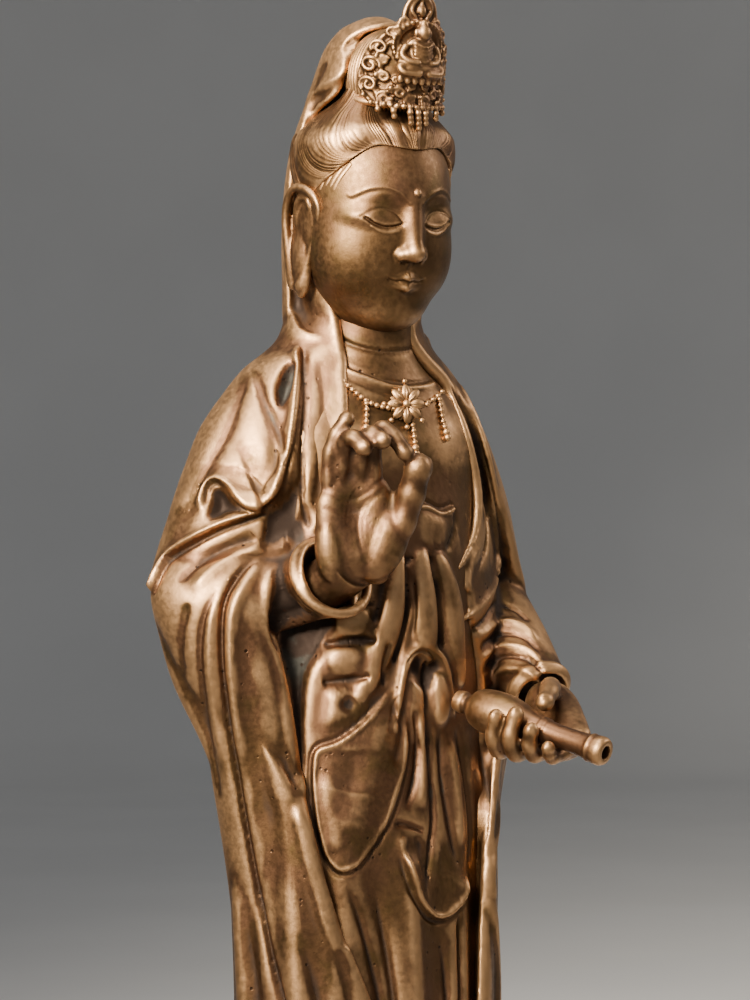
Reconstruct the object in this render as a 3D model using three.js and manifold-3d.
// Standing bronze guanyin figure in a long veil, a flask in the left hand, on a low lotus base.
// Millimetres, +Z up. The figure faces -Y, so its own left is +X. The origin is the centre of
// the base's underside.
import * as THREE from "three";
import { LoftGeometry } from "three/addons/geometries/LoftGeometry.js";
import { mergeVertices } from "three/addons/utils/BufferGeometryUtils.js";
import Module from "manifold-3d";

const wasm = await Module();
wasm.setup();

// Driving dimensions
const FIGURE_HEIGHT = 620; // soles to the tip of the crown
const BASE_HEIGHT = 30;
const BASE_RADIUS = 82;
const SEAT_GAP = 0.3; // between the base's top and the figure's soles
const VEIL_THICKNESS = 3;
const SLEEVE_THICKNESS = 4;
const MANTLE_THICKNESS = 5;
const CROWN_THICKNESS = 3;
const BEAD_RADIUS = 1.5;
const FLASK_LENGTH = 84;
const FLASK_RADIUS = 9.8;
const FLASK_NECK_RADIUS = 5.2;
const FLASK_LIP_RADIUS = 6.6;
const FLASK_MOUTH_RADIUS = 3.6;
const FLASK_MOUTH_DEPTH = 12;
const PETAL_COUNT = 16;
const PETAL_DEPTH = 5;

// The figure's proportions are written for a height of 620 and carried to its real height.
const CANON_HEIGHT = 620;
const SHARE = FIGURE_HEIGHT / CANON_HEIGHT;

const BRONZE = new THREE.MeshStandardMaterial({
  color: 0x8a6a4c,
  roughness: 0.42,
  metalness: 1,
});

// Small tools

const degrees = THREE.MathUtils.degToRad;
const mix = THREE.MathUtils.lerp;

/** A point of the figure, from canon millimetres above the soles. */
const point = (x, y, z) => new THREE.Vector3(x, y, z).multiplyScalar(SHARE);

/** Smooth step from 0 at `from` to 1 at `to`, either way round. */
function ease(value, from, to) {
  const t = THREE.MathUtils.clamp((value - from) / (to - from), 0, 1);
  return t * t * (3 - 2 * t);
}

/** Smooth curves through the rows of a table, by its first column. */
function through(table) {
  const width = table[0].length - 1;
  const spline = new THREE.CubicInterpolant(
    table.map((row) => row[0]),
    table.flatMap((row) => row.slice(1)),
    width,
  );
  const low = table[0][0];
  const high = table.at(-1)[0];
  return (at) => [...spline.evaluate(THREE.MathUtils.clamp(at, low, high))];
}

/** A closed geometry as a solid that can be joined and cut. */
function solid(geometry) {
  const bare = new THREE.BufferGeometry()
    .setAttribute("position", geometry.getAttribute("position"))
    .setIndex(geometry.index);
  const merged = mergeVertices(bare, 1e-3);
  const corners = merged.index.array;
  const kept = [];
  for (let i = 0; i < corners.length; i += 3) {
    const [a, b, c] = corners.subarray(i, i + 3);
    if (a !== b && b !== c && c !== a) kept.push(a, b, c);
  }
  return new wasm.Manifold(
    new wasm.Mesh({
      numProp: 3,
      vertProperties: merged.attributes.position.array,
      triVerts: new Uint32Array(kept),
    }),
  );
}

/** Joins solids into one. */
const fuse = (solids) => solids.reduce((whole, piece) => whole.add(piece));

/** The outer body of a join: pockets sealed between the pieces are filled, as in a casting. */
const cast = (whole) =>
  whole.decompose().reduce((large, body) => (body.volume() > large.volume() ? body : large));

/** A named mesh from a solid. */
function meshOf(name, whole, material) {
  const { numProp, vertProperties, triVerts } = whole.getMesh();
  const places = new Float32Array((vertProperties.length / numProp) * 3);
  for (let i = 0; i * 3 < places.length; i++)
    places.set(vertProperties.subarray(i * numProp, i * numProp + 3), i * 3);
  const geometry = new THREE.BufferGeometry()
    .setAttribute("position", new THREE.BufferAttribute(places, 3))
    .setIndex(new THREE.BufferAttribute(triVerts, 1));
  geometry.computeVertexNormals();
  const mesh = new THREE.Mesh(geometry, material);
  mesh.name = name;
  return mesh;
}

/** A closed loft through rings of points, counterclockwise seen from its end. */
const loft = (rings) => solid(new LoftGeometry(rings, { capStart: true, capEnd: true }));

/** An egg or bead. `turn` is an Euler rotation. */
function egg(centre, radii, { sides = 10, turn = new THREE.Euler() } = {}) {
  const geometry = new THREE.SphereGeometry(SHARE, sides, Math.max(4, Math.round(sides * 0.6)));
  geometry.rotateX(Math.PI / 2).scale(...radii);
  geometry.applyMatrix4(new THREE.Matrix4().makeRotationFromEuler(turn));
  geometry.translate(centre.x, centre.y, centre.z);
  return solid(geometry);
}

/** Ovals round a path's points. The widths and heights are half sizes in canon mm. */
function ovals(centres, tangents, normals, widths, heights, sides) {
  return centres.map((centre, i) => {
    const normal = normals[i].clone().addScaledVector(tangents[i], -normals[i].dot(tangents[i]));
    normal.normalize();
    const across = new THREE.Vector3().crossVectors(normal, tangents[i]);
    return Array.from({ length: sides }, (_, j) => {
      const angle = (2 * Math.PI * (j + 0.5)) / sides;
      return centre
        .clone()
        .addScaledVector(across, Math.cos(angle) * widths[i] * SHARE)
        .addScaledVector(normal, Math.sin(angle) * heights[i] * SHARE);
    });
  });
}

/** Sweeps an oval along a smooth path, its height measured along `up`. */
function sweep(path, widths, { heights = widths, up = [0, 0, 1], sides = 6, steps } = {}) {
  const curve = new THREE.CatmullRomCurve3(path, false, "centripetal");
  const count = steps ?? (path.length - 1) * 2;
  const at = Array.from({ length: count + 1 }, (_, i) => i / count);
  const sizes = through(widths.map((w, i) => [i / (widths.length - 1), w, heights[i]]));
  const wanted = new THREE.Vector3(...up).normalize();
  return loft(
    ovals(
      at.map((t) => curve.getPoint(t)),
      at.map((t) => curve.getTangent(t)),
      at.map(() => wanted),
      at.map((t) => sizes(t)[0]),
      at.map((t) => sizes(t)[1]),
      sides,
    ),
  );
}

/**
 * Tall rings round the figure: each row of the table gives a height and then the ring's half
 * width, front depth, back depth and the y of its centre. A bearing is 0 at the front, 90 at
 * the figure's left and 180 at the back.
 */
function column(table, { squareness = 2.2, relief = () => 0 } = {}) {
  const sizes = through(table);
  const at = (bearing, z, lift = 0) => {
    const [halfWidth, front, back, middle] = sizes(z);
    const angle = degrees(bearing);
    const power = 2 / squareness;
    const side = Math.sign(Math.sin(angle)) * Math.abs(Math.sin(angle)) ** power;
    const ahead = Math.sign(Math.cos(angle)) * Math.abs(Math.cos(angle)) ** power;
    const depth = ahead > 0 ? front : back;
    const out = new THREE.Vector2(side * halfWidth, -ahead * depth);
    const reach = out.length();
    out.multiplyScalar((reach + lift + relief(bearing, z)) / reach);
    return point(out.x, middle + out.y, z);
  };
  const build = (bearings, levels) => loft(levels.map((z) => bearings.map((b) => at(b, z))));
  return { at, build };
}

const even = (from, to, count) =>
  Array.from({ length: count }, (_, i) => mix(from, to, i / (count - 1)));
const round = (count) => Array.from({ length: count }, (_, i) => (360 * i) / count);
const places = (list) => list.map((p) => point(...p));

/**
 * A thick sheet of cloth round the figure, open at the front. Each row of the table gives a
 * height and then the half width, front depth, back depth, the y of the centre and how many
 * degrees to the right and to the left the opening reaches.
 */
function wrap(table, thickness, { relief = () => 0, filled = () => 0 } = {}) {
  const sizes = through(table);
  const at = (bearing, z, inset = 0) => {
    const [halfWidth, front, back, middle] = sizes(z);
    const angle = degrees(bearing);
    const depth = Math.cos(angle) > 0 ? front : back;
    const shrink = (size) => Math.max(size + relief(bearing, z) - inset / SHARE, 0.6);
    return point(Math.sin(angle) * shrink(halfWidth), middle - Math.cos(angle) * shrink(depth), z);
  };
  const build = (outside, inside, levels) =>
    loft(
      levels.map((z) => {
        const bearings = (count) => even(sizes(z)[5], 360 - sizes(z)[4], count);
        const inner = bearings(inside).map((b) => at(b, z, thickness + filled(z)));
        return [...bearings(outside).map((b) => at(b, z)), ...inner.reverse()];
      }),
    );
  return { at, build, opening: (z) => sizes(z).slice(4) };
}

// Gown and skirt

/** Long skirt folds: deep at the hem, gone at the waist. */
function skirtFolds(bearing, z) {
  const depth = 2.6 * ease(z, 320, 120);
  const wave = Math.cos(degrees(bearing * 12 + 20 * Math.sin(degrees(bearing * 2)) + z * 0.1));
  return depth * wave;
}

const gown = column(
  [
    [0, 60, 47, 44, -5],
    [16, 58, 46, 42, -6],
    [60, 55, 42, 40, -9],
    [120, 54, 40, 38, -12],
    [185, 54, 38, 38, -13],
    [240, 55, 37, 38, -12],
    [290, 56, 38, 38, -9],
    [330, 56, 39, 38, -6],
    [360, 56, 42, 38, -3],
    [385, 56, 43, 38, -1],
    [405, 58, 42, 38, 0],
    [428, 57, 41, 36, 0],
    [444, 50, 36, 33, -1],
    [455, 36, 28, 28, -4],
    [462, 24, 21, 23, -7],
  ],
  { relief: skirtFolds },
);

const GOWN_BEARINGS = [...even(-84, 84, 22), ...even(108, 252, 7)]; // close together at the front

const gownSolid = () =>
  gown.build(GOWN_BEARINGS, [0, 16, 65, 120, 175, 230, 285, 335, 365, 395, 420, 438, 452, 462]);

// Mantle over the shoulders and arms, hanging down both sides

function mantleFolds(bearing, z) {
  const wave = Math.cos(degrees(bearing * 11 + 25 * Math.sin(degrees(bearing))));
  return wave * (1.6 * ease(z, 380, 250) + 0.5 * ease(z, 455, 430));
}

const mantle = wrap(
  [
    [34, 66, 46, 46, -8, 30, 24],
    [110, 65, 43, 44, -12, 30, 24],
    [185, 66, 43, 43, -14, 31, 24],
    [231, 68, 42, 42, -13, 38, 29],
    [262, 70, 42, 41, -12, 44, 36],
    [295, 79, 42, 40, -8, 52, 46],
    [325, 88, 42, 36, 0, 56, 58],
    [345, 92, 44, 31, 4, 50, 66],
    [363, 93.5, 46, 31, 7, 44, 66],
    [376, 90, 47, 31, 7.5, 36, 62],
    [402, 82, 48, 31, 6.5, 30, 53],
    [420, 75, 48, 30, 7, 28, 48],
    [433, 69, 46, 29, 7, 27, 44],
    [447, 60, 41, 27, 5, 26, 42],
    [459, 50, 34, 25, 3, 28, 42],
    [470, 37, 27, 24, -1, 34, 44],
    [484, 30, 25, 28, -6, 62, 70],
  ],
  MANTLE_THICKNESS,
  { relief: mantleFolds },
);

const mantleSolid = () =>
  mantle.build(23, 5, [34, 100, 165, 225, 265, 298, 328, 350, 368, 392, 415, 435, 450, 463, 484]);

// Neck and head

/** Two creases round the neck. */
function neckSolid() {
  const creases = [469, 479];
  const crease = (z) => creases.reduce((sum, at) => sum + 1.3 * Math.exp(-(((z - at) / 1.3) ** 2)), 0);
  const neck = column(
    [
      [446, 30, 26, 20, -6],
      [457, 23, 22, 18, -9],
      [466, 18.5, 18.5, 17, -11],
      [500, 18, 17, 17, -18],
    ],
    { squareness: 2, relief: (bearing, z) => -crease(z) },
  );
  return neck.build(round(12), [446, 456, 467, 469, 471, 477, 479, 481, 500]);
}

const HEAD_CENTRE = [1, -22, 530];
const HEAD_BOW = 13; // degrees that the head is bowed

/** Head space (right to left, forward, up) to the figure's. */
function ofHead(side, forward, up) {
  const bow = degrees(HEAD_BOW);
  return point(
    HEAD_CENTRE[0] + side,
    HEAD_CENTRE[1] - forward * Math.cos(bow) - up * Math.sin(bow),
    HEAD_CENTRE[2] - forward * Math.sin(bow) + up * Math.cos(bow),
  );
}

/** Rough distance outside an oval, negative inside. */
function oval(p, centre, radii) {
  const reach = Math.hypot(...p.map((v, i) => (v - centre[i]) / radii[i]));
  return (reach - 1) * Math.min(...radii);
}

/** Distance outside a rod that tapers from radius a to radius b. */
function rod(p, start, end, a, b = a) {
  const along = end.map((v, i) => v - start[i]);
  const from = p.map((v, i) => v - start[i]);
  const length = along.reduce((s, v) => s + v * v, 0);
  const t = THREE.MathUtils.clamp(from.reduce((s, v, i) => s + v * along[i], 0) / length, 0, 1);
  return Math.hypot(...from.map((v, i) => v - along[i] * t)) - mix(a, b, t);
}

/** Smooth union of two distances. */
function blend(a, b, softness) {
  const h = Math.max(softness - Math.abs(a - b), 0) / softness;
  return Math.min(a, b) - (h * h * softness) / 4;
}

/** Smooth cut of b out of a. */
const carve = (a, b, softness) => -blend(-a, b, softness);

/** How far a point of head space is outside the face and skull. */
function headDistance(side, forward, up) {
  const p = [Math.abs(side), forward, up];
  let d = oval(p, [0, -3, 10], [32.5, 36, 35]);
  d = blend(d, oval(p, [0, 6, -14], [30, 29, 33]), 12);
  d = blend(d, oval(p, [14, 15, -18], [14, 14, 16]), 10);
  d = blend(d, oval(p, [0, 23, -37], [12, 9, 9]), 8);
  d = carve(d, oval(p, [13.5, 39, 3.5], [10, 7.5, 5.5]), 5);
  d = blend(d, rod(p, [0, 31, 8], [0, 37.5, -13], 2.6, 3.6), 4);
  d = blend(d, oval(p, [0, 37.5, -14], [4.6, 4.6, 4.2]), 2.5);
  d = blend(d, oval(p, [5.2, 34, -15], [3.2, 4, 3.2]), 2);
  d = blend(d, oval(p, [13, 22.5, 1.5], [9.5, 10, 8.5]), 2);
  d = blend(d, rod(p, [0, 34.4, -24.6], [8.5, 30.6, -26], 2, 1), 1.6);
  return blend(d, rod(p, [0, 33.6, -29], [6.5, 31, -28.2], 2.3, 1.2), 1.6);
}

/** Reach of the head from its centre in one direction of head space. */
function headReach(direction) {
  let near = 12;
  let far = 60;
  for (let i = 0; i < 24; i++) {
    const reach = (near + far) / 2;
    if (headDistance(...direction.map((v) => v * reach)) < 0) near = reach;
    else far = reach;
  }
  return near;
}

/** The head, with its facets crowded towards the middle of the face. */
function headSolid() {
  const sides = 24;
  const tilts = [-80, -62, -52, -44, -38, -32, -26, -20, -12, -3, 6, 18, 40, 78];
  const crowd = (j) => {
    const turn = j / sides;
    return 360 * turn - 13 * Math.sin(2 * Math.PI * turn);
  };
  return loft(
    tilts.map((tilt) =>
      Array.from({ length: sides }, (_, j) => {
        const turn = degrees(crowd(j));
        const rise = degrees(tilt);
        const direction = [Math.sin(turn) * Math.cos(rise), Math.cos(turn) * Math.cos(rise), Math.sin(rise)];
        const reach = headReach(direction);
        return ofHead(...direction.map((v) => v * reach));
      }),
    ),
  );
}

/** Long-lobed ear on one side: a rim, a hollow bowl and the lobe. */
function earSolid(side) {
  const rim = [
    [31, 6, 3],
    [34, 2, 15],
    [36, -6, 12],
    [35, -7, 0],
    [33, -2, -12],
    [32, 2, -26],
  ].map(([out, forward, up]) => ofHead(side * out, forward, up));
  const up = [side, 0, 0];
  return fuse([
    sweep(rim, [2, 3, 3.2, 3, 4.4, 5.4], { heights: [2, 2.4, 2.4, 2.4, 3, 3.4], up, sides: 5, steps: 6 }),
    egg(ofHead(side * 32, -1, 2), [3, 8, 12], { sides: 5 }),
  ]);
}

/** Combed-up hair: a cap that starts at the hairline, and the high knot. */
function hairSolids() {
  const strands = 28;
  const steps = 4;
  const cap = even(0, 1, steps + 1).map((t) =>
    Array.from({ length: strands }, (_, j) => {
      const turn = degrees((360 * j) / strands);
      const front = ease(Math.cos(turn), -0.2, 1);
      const up = mix(mix(2, 33, front), 50, t);
      const swell = Math.sqrt(Math.max(0, 1 - ((up - 10) / 43) ** 2));
      const comb = j % 2 ? 0.5 : -0.2;
      const out = mix(35.4 * swell, 17, ease(t, 0.45, 1)) + comb;
      const ahead = mix(38 * swell, 17, ease(t, 0.45, 1)) + comb;
      return ofHead(Math.sin(turn) * out, Math.cos(turn) * ahead - 3 * (1 - t), up);
    }),
  );
  return [loft(cap), egg(ofHead(0, 1, 56), [18.5, 18, 21], { sides: 8 })];
}

// Veil over the head

const veil = wrap(
  [
    [444, 34, 22, 28, -2, 92, 92],
    [460, 33, 24, 33, -4, 96, 96],
    [476, 32, 26, 35, -6, 102, 102],
    [494, 33.5, 29, 36, -9, 106, 106],
    [515, 36, 32, 38, -13, 108, 108],
    [537, 36.5, 33, 38, -16, 107, 107],
    [550, 35.5, 32.5, 37.5, -18, 104, 104],
    [563, 32, 31, 36, -19, 96, 96],
    [576, 28, 29, 32, -20, 74, 74],
    [588, 24, 26, 28, -20, 62, 62],
    [598, 20, 22, 23.5, -20, 56, 56],
    [606, 13.5, 15, 16, -20, 30, 30],
    [610, 4, 5, 5, -20, 10, 10],
  ],
  VEIL_THICKNESS,
  { filled: (z) => 30 * ease(z, 594, 600) },
);

const veilSolid = () => veil.build(15, 7, [444, 472, 496, 522, 545, 562, 576, 589, 600, 607, 610]);

// Crown

const CROWN_BEND = 21; // radius of the crown round the hair knot

/** A point on the crown's leaf: along its curve, up, and out from its face. */
function onCrown(along, up, out = 0) {
  const angle = along / CROWN_BEND;
  const reach = CROWN_BEND + out;
  return ofHead(Math.sin(angle) * reach, 1 + Math.cos(angle) * reach, up);
}

/** The leaf with its flame, the seated figure on it, scrolls and a row of beads. */
function crownSolids() {
  const halfWidth = through([
    [40, 14],
    [48, 21],
    [60, 23.5],
    [72, 20],
    [80, 12],
    [86, 6.5],
    [92, 5],
    [97, 0.8],
  ]);
  const leaf = loft(
    [40, 48, 60, 72, 81, 87, 92, 97].map((up) => {
      const half = halfWidth(up)[0];
      const span = even(-half, half, 6);
      const front = span.map((s) => onCrown(s, up, 1.5));
      return [...front, ...span.map((s) => onCrown(s, up, 1.5 - CROWN_THICKNESS / SHARE)).reverse()];
    }),
  );
  const seated = [
    egg(onCrown(0, 75, 3.5), [3.6, 3.6, 4.6], { sides: 6 }),
    egg(onCrown(0, 65, 3), [6, 4.2, 7.5], { sides: 6 }),
    egg(onCrown(0, 56, 3.5), [10, 5, 4.6], { sides: 6 }),
  ];
  const scroll = (side, up, size) => {
    const path = even(0, 450, 9).map((a) => {
      const reach = size * (1 - a / 640);
      return onCrown(side * (15.5 + reach * Math.cos(degrees(a))), up + reach * Math.sin(degrees(a)), 2.2);
    });
    return sweep(path, path.map(() => 1.3), { up: [side, -1, 0], sides: 4, steps: 8 });
  };
  const scrolls = [-1, 1].map((side) => scroll(side, 60, 7));
  const beads = even(-15, 15, 5).map((along) => onCrown(along, 41, 1.8));
  const band = sweep(beads, beads.map(() => 2.2), { up: [0, -1, 0], sides: 4, steps: 4 });
  return [leaf, ...seated, ...scrolls, band];
}

// Arms and sleeves

const RIGHT_ELBOW = [-72, 0, 364];
const RIGHT_WRIST = [-38, -46, 366];
const LEFT_ELBOW = [76, 6, 356];
const LEFT_WRIST = [71, -44, 318];

/** A limb of cloth from joint to joint. */
function limb(start, end, radii, up) {
  const middle = start.map((v, i) => mix(v, end[i], 0.5));
  return sweep(places([start, middle, end]), radii, { up, sides: 8, steps: 3 });
}

/** Rolled rim of a sleeve round a wrist, square to `facing`. */
function cuff(centre, facing, radius) {
  const axis = new THREE.Vector3(...facing).normalize();
  const geometry = new THREE.TorusGeometry(radius * SHARE, SLEEVE_THICKNESS * 0.6, 4, 12);
  geometry.applyQuaternion(new THREE.Quaternion().setFromUnitVectors(new THREE.Vector3(0, 0, 1), axis));
  const at = point(...centre);
  geometry.translate(at.x, at.y, at.z);
  return solid(geometry);
}

const armSolids = () => [
  limb(RIGHT_ELBOW, RIGHT_WRIST, [15, 19, 16.5], [0, 0, 1]),
  limb(LEFT_ELBOW, LEFT_WRIST, [18, 16.5, 13], [0, 0, 1]),
  cuff([-37, -47, 367], [0.3, -0.5, 0.8], 17),
  cuff([71.5, -41, 320], [-0.1, -0.8, -0.6], 13),
];

/** A wide sleeve that hangs below the right forearm: height, x, y, half length, half width, turn. */
function rightSleeveSolid() {
  const sizes = through([
    [104, -44, -27, 18, 7, 45],
    [185, -48, -25, 23, 9, 45],
    [231, -52, -20, 21, 11, 44],
    [281, -62, -16, 19, 13, 42],
    [310, -66, -16, 20, 14, 42],
    [340, -74, -13, 24, 15, 42],
    [363, -74, -10, 28, 16, 42],
    [376, -72, -9, 25, 11, 42],
    [384, -70, -8, 16, 4, 42],
  ]);
  const rings = [104, 160, 215, 265, 300, 335, 362, 376, 384].map((z) => {
    const [x, y, length, width, turn] = sizes(z);
    const swing = degrees(turn);
    return round(12).map((a) => {
      const along = -Math.cos(degrees(a)) * length;
      const out = Math.sin(degrees(a)) * width;
      return point(
        x + out * Math.cos(swing) - along * Math.sin(swing),
        y + along * Math.cos(swing) + out * Math.sin(swing),
        z,
      );
    });
  });
  return loft(rings);
}

// Hands

/** A frame at a wrist: across, forward and up, turned about the vertical. */
function handFrame([x, y], yaw) {
  const turn = degrees(yaw);
  return (across, forward, z) =>
    point(
      x + across * Math.cos(turn) + forward * Math.sin(turn),
      y + across * Math.sin(turn) - forward * Math.cos(turn),
      z,
    );
}

/** A finger: a tapering rod through its joints. */
function finger(path, radius) {
  const ahead = path.at(-1).clone().sub(path.at(-2)).setLength(radius * 0.9 * SHARE);
  const radii = path.map((_, i) => radius * mix(1, 0.85, i / (path.length - 1)));
  return sweep([...path, path.at(-1).clone().add(ahead)], [...radii, radius * 0.25], {
    up: [0.3, -0.9, 0.2],
    sides: 5,
    steps: path.length + 1,
  });
}

/** Right hand, raised with the palm forward, thumb and first finger meeting. */
function rightHandSolids() {
  const at = handFrame([-34.3, -52], -18);
  const along = (list) => list.map((p) => at(...p));
  const palm = sweep(along([[0, 0, 354], [0, 3, 371], [1.5, 6, 388], [1.5, 7, 403], [0, 6, 417]]), [13, 15, 17, 16.5, 13.5], {
    heights: [11, 11, 9, 7, 5],
    up: [-0.31, -0.95, 0],
    sides: 8,
    steps: 5,
  });
  return [
    palm,
    finger(along([[-9, 6, 408], [-10, 8, 420], [-7, 9.5, 429], [-3, 10, 436]]), 4),
    finger(along([[-4, 7, 411], [-4.5, 10, 424], [-2, 17, 428], [1, 22, 424]]), 4.3),
    finger(along([[3, 7, 411], [3, 10, 426], [5.5, 17, 430], [9, 22, 427]]), 4.4),
    finger(along([[9, 7, 410], [8.5, 9, 425], [10.5, 12, 432], [15, 16, 428], [20, 18, 422]]), 4.2),
    finger(along([[11, 5, 376], [18, 8, 391], [23, 12, 405], [25, 16, 416]]), 6.4),
  ];
}

const FLASK_HEEL = [23, -49, 317];
const FLASK_AIM = [0.366, -0.886, -0.254]; // from foot to mouth

/** Left hand, its fingers coming up under the flask. */
function leftHandSolids() {
  const palm = sweep(
    places([
      [71, -42, 320],
      [68, -56, 311],
      [63, -70, 303],
      [57, -82, 297],
    ]),
    [9, 11, 12.5, 10],
    { heights: [9, 7.5, 6.5, 5.5], up: [0.55, 0.1, -0.8], sides: 8, steps: 4 },
  );
  const fingers = [
    [[58, -68, 302], [47, -72, 293], [35, -75, 294], [29, -77, 301]],
    [[59, -76, 300], [49, -81, 290], [38, -85, 290], [32, -87, 297]],
    [[60, -83, 298], [52, -90, 287], [42, -95, 287], [36, -97, 294]],
    [[60, -89, 296], [55, -98, 287], [47, -103, 286], [41, -105, 292]],
  ];
  return [
    palm,
    ...fingers.map((joints) => finger(places(joints), 3.9)),
    finger(places([[68, -52, 319], [62, -64, 320], [54, -75, 318], [46, -83, 315]]), 4.6),
  ];
}

/** The flask, turned on its long axis, with an open mouth. */
function flaskSolid() {
  const profile = [
    [0, 0],
    [FLASK_RADIUS * 0.46, 0],
    [FLASK_RADIUS * 0.5, FLASK_LENGTH * 0.05],
    [FLASK_RADIUS * 0.42, FLASK_LENGTH * 0.08],
    [FLASK_RADIUS * 0.8, FLASK_LENGTH * 0.14],
    [FLASK_RADIUS, FLASK_LENGTH * 0.27],
    [FLASK_RADIUS * 0.93, FLASK_LENGTH * 0.39],
    [FLASK_RADIUS * 0.68, FLASK_LENGTH * 0.51],
    [FLASK_NECK_RADIUS, FLASK_LENGTH * 0.62],
    [FLASK_NECK_RADIUS, FLASK_LENGTH * 0.85],
    [FLASK_LIP_RADIUS, FLASK_LENGTH * 0.94],
    [FLASK_LIP_RADIUS, FLASK_LENGTH * 0.98],
    [FLASK_MOUTH_RADIUS, FLASK_LENGTH],
    [FLASK_MOUTH_RADIUS * 0.9, FLASK_LENGTH - FLASK_MOUTH_DEPTH],
    [0, FLASK_LENGTH - FLASK_MOUTH_DEPTH],
  ];
  const outline = profile.map(([x, y]) => new THREE.Vector2(x, y));
  const geometry = new THREE.LatheGeometry(outline, 9);
  const aim = new THREE.Vector3(...FLASK_AIM).normalize();
  geometry.applyQuaternion(new THREE.Quaternion().setFromUnitVectors(new THREE.Vector3(0, 1, 0), aim));
  const heel = point(...FLASK_HEEL);
  geometry.translate(heel.x, heel.y, heel.z);
  return solid(geometry);
}

// Folds, hems and the necklace, drawn across a three-quarter view and laid on the cloth

const VIEW = { azimuth: -33, aside: 10.9, height: 402.5, distance: 1600 };
const FOLD_STEP = 19; // length of one facet of a fold

/** Where a line of sight of the three-quarter view meets the cloth. */
function sight(cloth) {
  const turn = degrees(VIEW.azimuth);
  const right = new THREE.Vector3(Math.cos(turn), Math.sin(turn), 0);
  const towards = new THREE.Vector3(Math.sin(turn), -Math.cos(turn), 0);
  const eye = right.clone().multiplyScalar(VIEW.aside).addScaledVector(towards, VIEW.distance);
  eye.z = VIEW.height;
  eye.multiplyScalar(SHARE);
  const caster = new THREE.Raycaster();
  return (across, z) => {
    const aim = right.clone().multiplyScalar(across * SHARE);
    aim.z = z * SHARE;
    caster.set(eye, aim.sub(eye).normalize());
    const [hit] = caster.intersectObject(cloth);
    return hit && { place: hit.point, normal: hit.face.normal };
  };
}

/** A rounded fold along a line of [across, height] stops, `width` wide and `height` proud. */
function fold(see, stops, width, height) {
  const drawn = new THREE.CatmullRomCurve3(
    stops.map(([across, z]) => new THREE.Vector3(across, 0, z)),
    false,
    "centripetal",
  );
  const count = Math.max(3, Math.round(drawn.getLength() / FOLD_STEP));
  const hits = drawn
    .getSpacedPoints(count)
    .map((p) => see(p.x, p.z))
    .filter((hit) => hit);
  const centres = hits.map((hit) => hit.place);
  const tangents = centres.map((_, i) => {
    const before = centres[Math.max(i - 1, 0)];
    const after = centres[Math.min(i + 1, centres.length - 1)];
    return after.clone().sub(before).normalize();
  });
  const taper = centres.map((_, i) => 0.25 + 0.75 * Math.sin((Math.PI * (i + 0.4)) / (hits.length - 0.2)) ** 0.5);
  return loft(
    ovals(
      centres,
      tangents,
      hits.map((hit) => hit.normal),
      taper.map((t) => t * width),
      taper.map((t) => t * height),
      4,
    ),
  );
}

/** Each fold: half width, height, then its stops. */
const FOLDS = [
  [5, 3, [[-35, 373], [-36, 356], [-34, 342], [-30, 327], [-27, 305], [-23, 275], [-16, 239], [-3, 205], [5, 185], [15, 133], [14, 59], [11, 38]]],
  [4, 3, [[-83, 366], [-77, 381], [-67, 388], [-58, 393], [-48, 398], [-39, 399], [-31, 405], [-26, 423], [-23, 439], [-22, 455], [-22, 472]]],
  [3.5, 2, [[-10, 468], [-6, 462], [-3, 451], [-3, 439], [-5, 425], [-8, 400], [-10, 385]]],
  [3, 2, [[35, 467], [43, 456], [49, 443], [53, 429], [56, 411], [57, 396], [54, 383], [47, 370]]],
  [3, 2, [[39, 466], [46, 456], [52, 442], [58, 424], [62, 409], [64, 391], [64, 373], [62, 361], [56, 354], [47, 349]]],
  [5, 4, [[20, 378], [18, 359], [15, 345], [10, 330]]],
  [5, 4.5, [[29, 378], [30, 359], [31, 344]]],
  [4.5, 4, [[38, 377], [42, 362], [46, 347], [49, 333]]],
  [3.5, 4.5, [[22, 324], [23, 333], [27, 338], [33, 340], [38, 339], [41, 331], [44, 314]]],
  [8, 5, [[-13, 348], [1, 349], [14, 348]]],
  [8, 4.5, [[-15, 332], [-1, 333], [11, 331]]],
  [9, 5, [[-6, 313], [5, 312], [14, 320]]],
  [3.5, 3, [[23, 316], [25, 304], [25, 289], [21, 275], [16, 260], [9, 250], [2, 242], [-4, 240], [-10, 246], [-15, 260], [-17, 276], [-15, 294]]],
  [9, 3.5, [[14, 310], [10, 290], [2, 270], [-3, 252]]],
  [3.5, 2.6, [[33, 320], [34, 298], [35, 276], [35, 250], [32, 228], [37, 220], [44, 221], [51, 228], [54, 240]]],
  [4, 2.8, [[60, 296], [63, 281], [64, 267], [62, 250], [60, 237], [62, 224], [63, 207], [64, 185], [63, 150], [61, 115], [60, 60]]],
];

function foldSolids(see) {
  return FOLDS.map(([width, height, stops]) => fold(see, stops, width, height));
}

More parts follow.
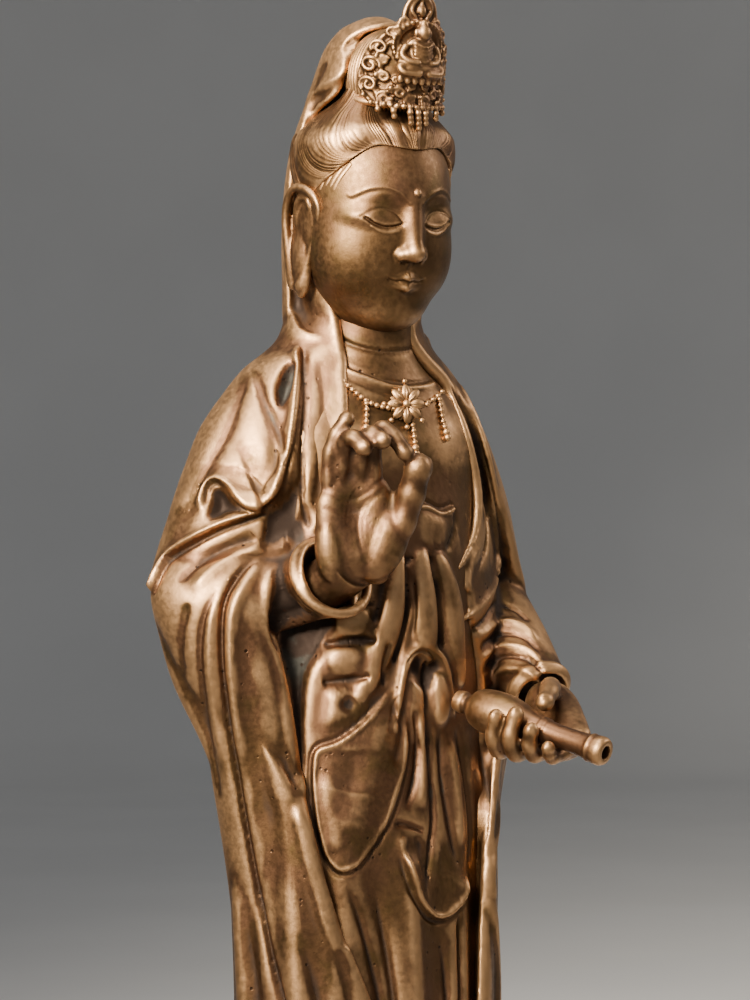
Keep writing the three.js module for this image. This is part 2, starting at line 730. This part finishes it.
/** Necklace: a string round the chest, three hanging strings and a flower. */
function necklaceSolids(see) {
  const thin = BEAD_RADIUS / SHARE;
  const strings = [
    [[-2, 452], [8, 445], [20, 441], [32, 443], [41, 451]],
    [[7, 446], [8, 438], [8, 430]],
    [[26, 436], [28, 428], [29, 420]],
    [[37, 445], [39, 436], [41, 427]],
  ];
  const flower = see(23, 443).place;
  return [
    ...strings.map((stops) => fold(see, stops, thin, thin * 1.3)),
    egg(flower, [7, 3.4, 6], { sides: 8, turn: new THREE.Euler(0, 0, degrees(10)) }),
  ];
}

function figureSolid() {
  const clothed = fuse([gownSolid(), mantleSolid(), rightSleeveSolid(), ...armSolids()]);
  const see = sight(meshOf("cloth", clothed, BRONZE));
  return fuse([
    clothed,
    ...foldSolids(see),
    neckSolid(),
    headSolid(),
    earSolid(1),
    earSolid(-1),
    ...hairSolids(),
    veilSolid(),
    ...crownSolids(),
    ...rightHandSolids(),
    ...leftHandSolids(),
    flaskSolid(),
    ...necklaceSolids(see),
  ]);
}

// Lotus base

/** A round plinth whose side swells into a ring of petals over a plain foot. */
function baseSolid() {
  const samples = 4; // corners along one petal
  const rings = [
    [0, 1, 0],
    [0.16, 1, 0],
    [0.2, 0.92, 0.5],
    [0.42, 0.99, 1],
    [0.75, 0.96, 1],
    [0.9, 0.89, 0.6],
    [1, 0.88, 0],
  ].map(([height, share, depth]) =>
    round(PETAL_COUNT * samples).map((bearing) => {
      const petal = Math.abs(Math.cos((degrees(bearing) * PETAL_COUNT) / 2)) ** 0.7;
      const reach = BASE_RADIUS * share - PETAL_DEPTH * depth * (1 - petal);
      return new THREE.Vector3(Math.sin(degrees(bearing)), -Math.cos(degrees(bearing)), 0)
        .multiplyScalar(reach)
        .setZ(BASE_HEIGHT * height);
    }),
  );
  return loft(rings);
}

const figure = new THREE.Group();
figure.position.z = BASE_HEIGHT + SEAT_GAP;
figure.add(meshOf("figure", cast(figureSolid()), BRONZE));

const statue = new THREE.Group();
statue.add(figure, meshOf("lotus_base", baseSolid(), BRONZE));

export default statue;
